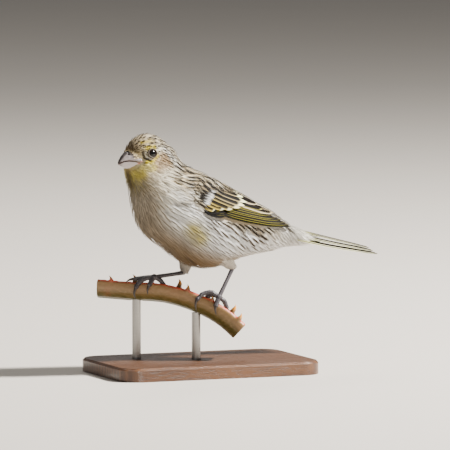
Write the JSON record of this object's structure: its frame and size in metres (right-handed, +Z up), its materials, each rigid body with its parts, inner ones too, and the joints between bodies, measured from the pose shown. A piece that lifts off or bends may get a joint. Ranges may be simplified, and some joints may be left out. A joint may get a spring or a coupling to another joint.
{
  "type": "canary museum model",
  "caption": "Life-size still model of a streaked canary gripping the toothed edge of a cut succulent leaf, which two short rods hold over a flat base",
  "frame": {"origin": "centre of the underside of the stand's base", "axes": "+Z up, -X the way the bird's body faces, +X towards its tail, -Y its left side"},
  "size_m": [0.1315, 0.062, 0.1088],
  "materials": {
    "plumage": "soft streaked feathers",
    "flight_feathers": "smooth feather vanes with pale edges",
    "bill": "satin horn",
    "eye": "wet gloss",
    "leg_skin": "scaled skin",
    "leaf": "waxy leaf with a red margin",
    "stand_wood": "dark satin varnish",
    "stand_rod": "brushed"
  },
  "bodies": {
    "root": {"head": "plumage", "neck": "plumage", "torso": "plumage", "rump": "plumage", "thigh_left": "plumage", "thigh_right": "plumage", "wing_left": "flight_feathers", "wing_right": "flight_feathers", "tail": "flight_feathers", "bill_upper": "bill", "bill_lower": "bill", "eye_left": "eye", "eye_right": "eye", "tarsus_left": "leg_skin", "tarsus_right": "leg_skin", "foot_left": "leg_skin", "foot_right": "leg_skin", "perch_leaf": "leaf", "stand_base": "stand_wood", "stand_rod_front": "stand_rod", "stand_rod_back": "stand_rod"}
  },
  "joints": []
}
